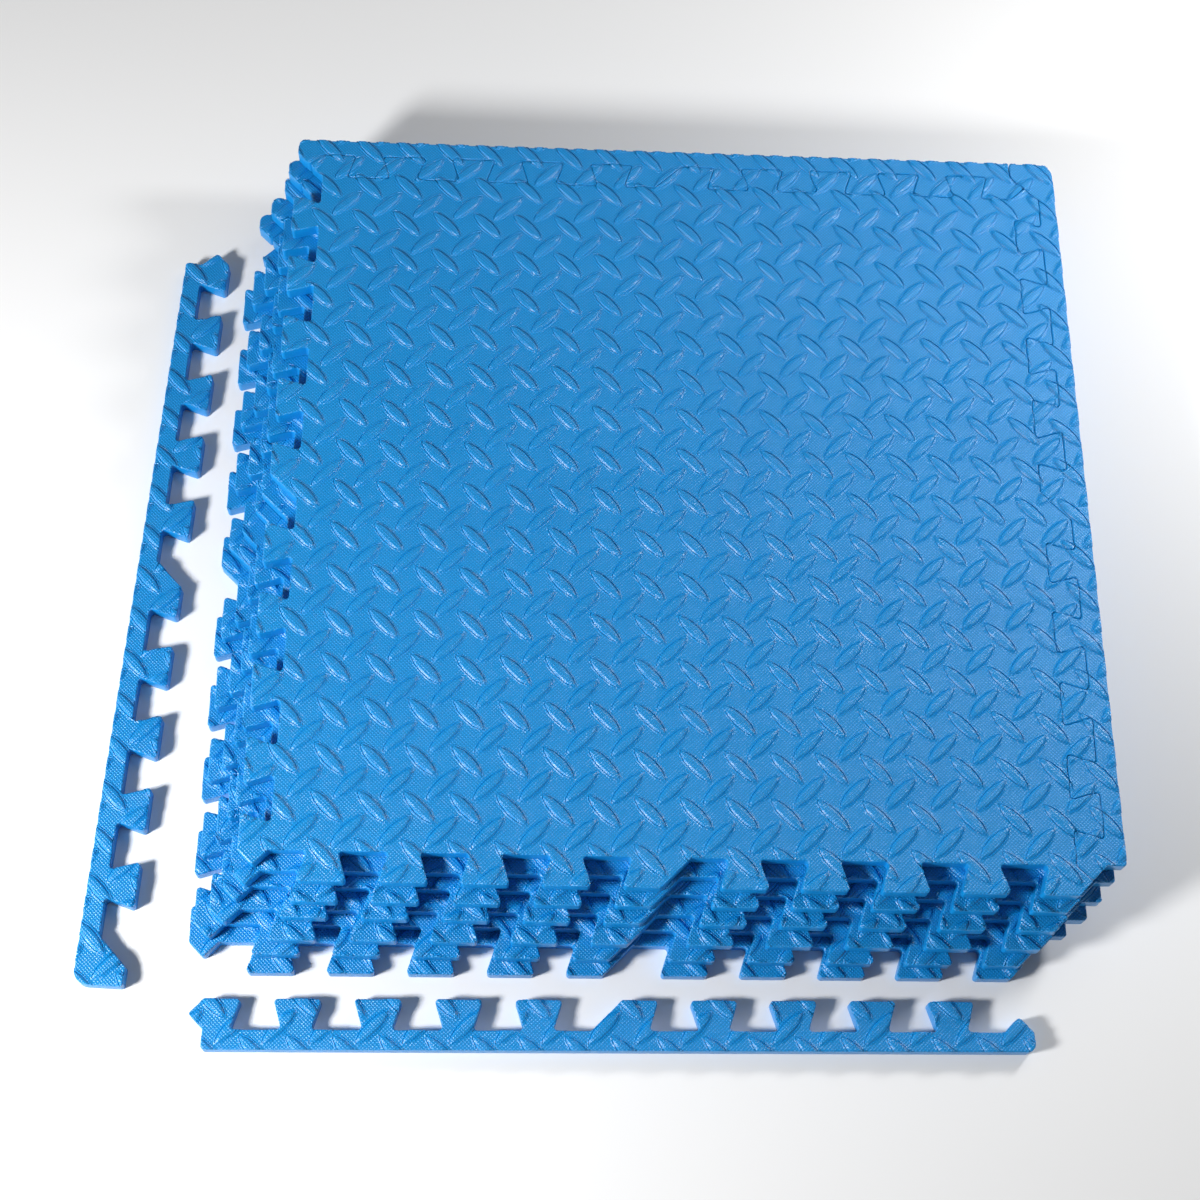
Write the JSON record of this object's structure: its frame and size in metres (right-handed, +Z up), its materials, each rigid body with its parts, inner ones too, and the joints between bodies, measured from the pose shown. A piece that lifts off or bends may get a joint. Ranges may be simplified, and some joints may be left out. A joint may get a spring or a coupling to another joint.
{
  "type": "interlocking foam mat set",
  "caption": "Loose stack of square blue foam floor mats with dovetail puzzle edges and a raised leaf tread, with edge strips fitted along their back and right sides and loose ones beside.",
  "frame": {"origin": "middle of the underside of the lowest mat, on the floor", "axes": "+X to the right, +Y to the back, +Z up; the top mat's sides run along X and Y"},
  "size_m": [0.7674, 0.7558, 0.0762],
  "materials": {
    "foam_mat": "soft matt, fine linen emboss with raised leaves",
    "foam_strip": "soft matt, fine linen emboss with raised leaves"
  },
  "bodies": {
    "mat_1": {"mat_1": "foam_mat"},
    "front_strip_1": {"front_strip_1": "foam_strip"},
    "left_strip_1": {"left_strip_1": "foam_strip"},
    "mat_2": {"mat_2": "foam_mat", "back_strip_2": "foam_strip", "right_strip_2": "foam_strip"},
    "mat_3": {"mat_3": "foam_mat", "back_strip_3": "foam_strip", "right_strip_3": "foam_strip"},
    "mat_4": {"mat_4": "foam_mat", "back_strip_4": "foam_strip", "right_strip_4": "foam_strip"},
    "mat_5": {"mat_5": "foam_mat", "back_strip_5": "foam_strip", "right_strip_5": "foam_strip"},
    "mat_6": {"mat_6": "foam_mat"},
    "back_strip_6": {"back_strip_6": "foam_strip"},
    "right_strip_6": {"right_strip_6": "foam_strip"}
  },
  "joints": [
    {"name": "lift_mat_2", "type": "slide", "parent": "mat_1", "child": "mat_2", "axis": [0, 0, 1], "range_m": [0, 0.06]},
    {"name": "lift_mat_3", "type": "slide", "parent": "mat_2", "child": "mat_3", "axis": [0, 0, 1], "range_m": [0, 0.06]},
    {"name": "lift_mat_4", "type": "slide", "parent": "mat_3", "child": "mat_4", "axis": [0, 0, 1], "range_m": [0, 0.06]},
    {"name": "lift_mat_5", "type": "slide", "parent": "mat_4", "child": "mat_5", "axis": [0, 0, 1], "range_m": [0, 0.06]},
    {"name": "lift_mat_6", "type": "slide", "parent": "mat_5", "child": "mat_6", "axis": [0, 0, 1], "range_m": [0, 0.06]},
    {"name": "lift_back_strip_6", "type": "slide", "parent": "mat_6", "child": "back_strip_6", "axis": [0, 0, 1], "range_m": [0, 0.04]},
    {"name": "lift_right_strip_6", "type": "slide", "parent": "mat_6", "child": "right_strip_6", "axis": [0, 0, 1], "range_m": [0, 0.04]},
    {"name": "lift_front_strip_1", "type": "slide", "parent": "mat_1", "child": "front_strip_1", "axis": [0, 0, 1], "range_m": [0, 0.1]},
    {"name": "lift_left_strip_1", "type": "slide", "parent": "mat_1", "child": "left_strip_1", "axis": [0, 0, 1], "range_m": [0, 0.1]}
  ]
}
